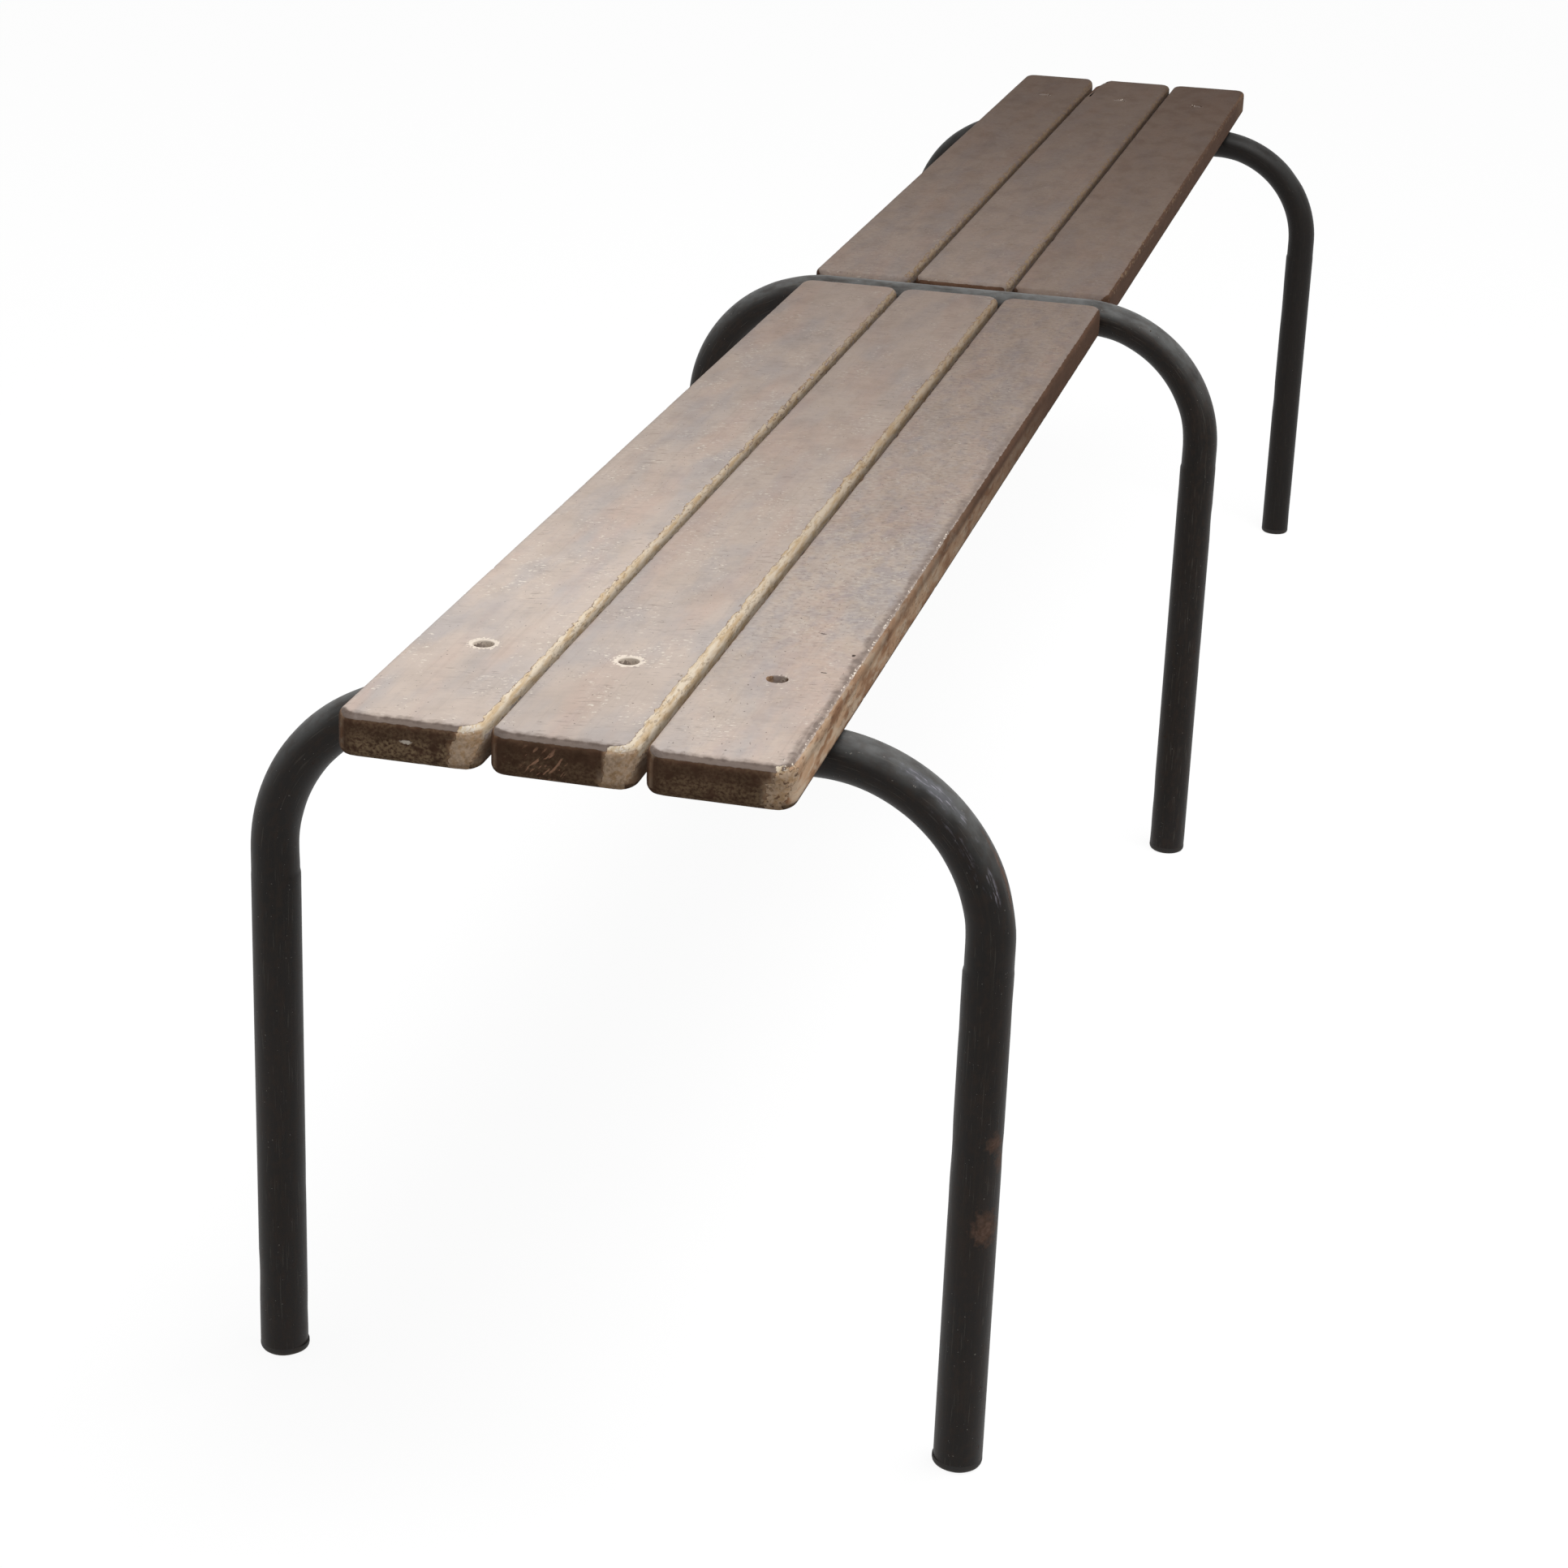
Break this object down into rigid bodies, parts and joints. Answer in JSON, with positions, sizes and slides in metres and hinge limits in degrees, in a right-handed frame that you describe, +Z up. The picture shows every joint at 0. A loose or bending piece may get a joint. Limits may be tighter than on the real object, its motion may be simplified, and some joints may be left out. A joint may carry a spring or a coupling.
{
  "type": "school bench",
  "caption": "Long backless bench: two sections of painted wooden slats on upside-down U hoops of black steel tube, with the middle hoop level with the seat.",
  "frame": {"origin": "on the floor, at the centre of the bench's footprint, below the middle hoop", "axes": "+X along the seat, towards its right end as seen from the front; -Y is the front; +Z is up"},
  "size_m": [2, 0.4198, 0.441],
  "materials": {
    "tube": "satin black enamel, scratched, with a few rust spots",
    "slat": "worn satin taupe paint over brown ground, chipped to straw-coloured wood at the edges",
    "flat_bar": "satin black enamel",
    "foot_plug": "scuffed black moulded plastic",
    "bolt": "dull, tarnished zinc plate",
    "zinc_hardware": "dull zinc plate"
  },
  "bodies": {
    "root": {"left_hoop": "tube", "middle_hoop": "tube", "right_hoop": "tube", "left_front_slat": "slat", "left_middle_slat": "slat", "left_rear_slat": "slat", "right_front_slat": "slat", "right_middle_slat": "slat", "right_rear_slat": "slat", "left_ledger": "flat_bar", "right_ledger": "flat_bar", "left_front_foot": "foot_plug", "left_rear_foot": "foot_plug", "middle_front_foot": "foot_plug", "middle_rear_foot": "foot_plug", "right_front_foot": "foot_plug", "right_rear_foot": "foot_plug", "left_bolts": "bolt", "right_bolts": "bolt", "left_washers": "zinc_hardware", "right_washers": "zinc_hardware", "left_nuts": "zinc_hardware", "right_nuts": "zinc_hardware", "left_ledger_screws": "zinc_hardware", "right_ledger_screws": "zinc_hardware"}
  },
  "joints": []
}
